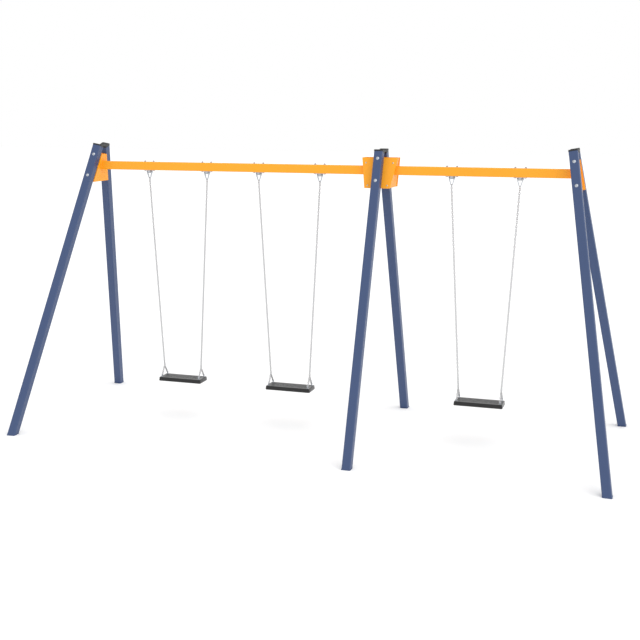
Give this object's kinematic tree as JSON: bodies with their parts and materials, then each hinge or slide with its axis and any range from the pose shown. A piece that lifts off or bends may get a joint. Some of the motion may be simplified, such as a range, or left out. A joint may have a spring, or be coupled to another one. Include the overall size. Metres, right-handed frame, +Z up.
{
  "type": "swing set",
  "caption": "Free-standing steel playground swing set: splayed A-frame legs, a straight crossbeam and flat rubber seats hanging on galvanised chains.",
  "frame": {"origin": "on the ground at the middle of the set's length and depth", "axes": "+X along the crossbeam to the right seen from the front, -Y towards the front, +Z up"},
  "size_m": [5.6848, 2.2426, 2.7677],
  "materials": {
    "blue_powder_coat": "satin powder coat",
    "orange_powder_coat": "satin powder coat",
    "black_plastic": "moulded matte",
    "galvanised_steel": "hot-dip galvanised",
    "galvanised_chain": "galvanised round steel wire",
    "bronze_bush": "sintered bronze",
    "insert_aluminium": "mill",
    "black_rubber": "moulded rubber"
  },
  "bodies": {
    "frame": {"left_frame_front_leg": "blue_powder_coat", "left_frame_back_leg": "blue_powder_coat", "middle_frame_front_leg": "blue_powder_coat", "middle_frame_back_leg": "blue_powder_coat", "right_frame_front_leg": "blue_powder_coat", "right_frame_back_leg": "blue_powder_coat", "leg_top_caps": "black_plastic", "leg_foot_plates": "blue_powder_coat", "left_beam": "orange_powder_coat", "right_beam": "orange_powder_coat", "left_beam_left_bracket": "orange_powder_coat", "left_beam_right_bracket": "orange_powder_coat", "right_beam_left_bracket": "orange_powder_coat", "right_beam_right_bracket": "orange_powder_coat", "middle_plates": "orange_powder_coat", "leg_bolts": "galvanised_steel", "leg_bolt_nuts": "galvanised_steel", "plate_bolts": "galvanised_steel", "plate_bolt_nuts": "galvanised_steel", "hanger_bolts": "galvanised_steel", "hanger_bolt_washers": "galvanised_steel", "hanger_bolt_nuts": "galvanised_steel", "hanger_housings": "galvanised_steel", "hanger_bushes": "bronze_bush"},
    "left_swing": {"left_swing_pins": "galvanised_steel", "left_swing_pin_nuts": "galvanised_steel", "left_swing_stirrups": "galvanised_steel", "left_swing_hanger_rings": "galvanised_chain", "left_swing_left_chain": "galvanised_chain", "left_swing_right_chain": "galvanised_chain"},
    "left_swing_seat_body": {"left_swing_rings": "galvanised_chain", "left_swing_seat_chains": "galvanised_chain", "left_swing_seat": "black_rubber", "left_swing_seat_insert": "insert_aluminium", "left_swing_seat_eyes": "galvanised_steel", "left_swing_seat_nuts": "galvanised_steel"},
    "centre_swing": {"centre_swing_pins": "galvanised_steel", "centre_swing_pin_nuts": "galvanised_steel", "centre_swing_stirrups": "galvanised_steel", "centre_swing_hanger_rings": "galvanised_chain", "centre_swing_left_chain": "galvanised_chain", "centre_swing_right_chain": "galvanised_chain"},
    "centre_swing_seat_body": {"centre_swing_rings": "galvanised_chain", "centre_swing_seat_chains": "galvanised_chain", "centre_swing_seat": "black_rubber", "centre_swing_seat_insert": "insert_aluminium", "centre_swing_seat_eyes": "galvanised_steel", "centre_swing_seat_nuts": "galvanised_steel"},
    "right_swing": {"right_swing_pins": "galvanised_steel", "right_swing_pin_nuts": "galvanised_steel", "right_swing_stirrups": "galvanised_steel", "right_swing_hanger_rings": "galvanised_chain", "right_swing_left_chain": "galvanised_chain", "right_swing_right_chain": "galvanised_chain"},
    "right_swing_seat_body": {"right_swing_rings": "galvanised_chain", "right_swing_seat_chains": "galvanised_chain", "right_swing_seat": "black_rubber", "right_swing_seat_insert": "insert_aluminium", "right_swing_seat_eyes": "galvanised_steel", "right_swing_seat_nuts": "galvanised_steel"}
  },
  "joints": [
    {"name": "left_swing_pivot", "type": "hinge", "parent": "frame", "child": "left_swing", "pos_m": [-1.481, 0, 2.489], "axis": [1, 0, 0], "range_deg": [-60, 60]},
    {"name": "left_swing_seat_rock", "type": "hinge", "parent": "left_swing", "child": "left_swing_seat_body", "pos_m": [-1.481, 0, 0.52848], "axis": [1, 0, 0], "range_deg": [-30, 30]},
    {"name": "centre_swing_pivot", "type": "hinge", "parent": "frame", "child": "centre_swing", "pos_m": [-0.325, 0, 2.489], "axis": [1, 0, 0], "range_deg": [-60, 60]},
    {"name": "centre_swing_seat_rock", "type": "hinge", "parent": "centre_swing", "child": "centre_swing_seat_body", "pos_m": [-0.325, 0, 0.52848], "axis": [1, 0, 0], "range_deg": [-30, 30]},
    {"name": "right_swing_pivot", "type": "hinge", "parent": "frame", "child": "right_swing", "pos_m": [1.548, 0, 2.489], "axis": [1, 0, 0], "range_deg": [-60, 60]},
    {"name": "right_swing_seat_rock", "type": "hinge", "parent": "right_swing", "child": "right_swing_seat_body", "pos_m": [1.548, 0, 0.52848], "axis": [1, 0, 0], "range_deg": [-30, 30]}
  ]
}
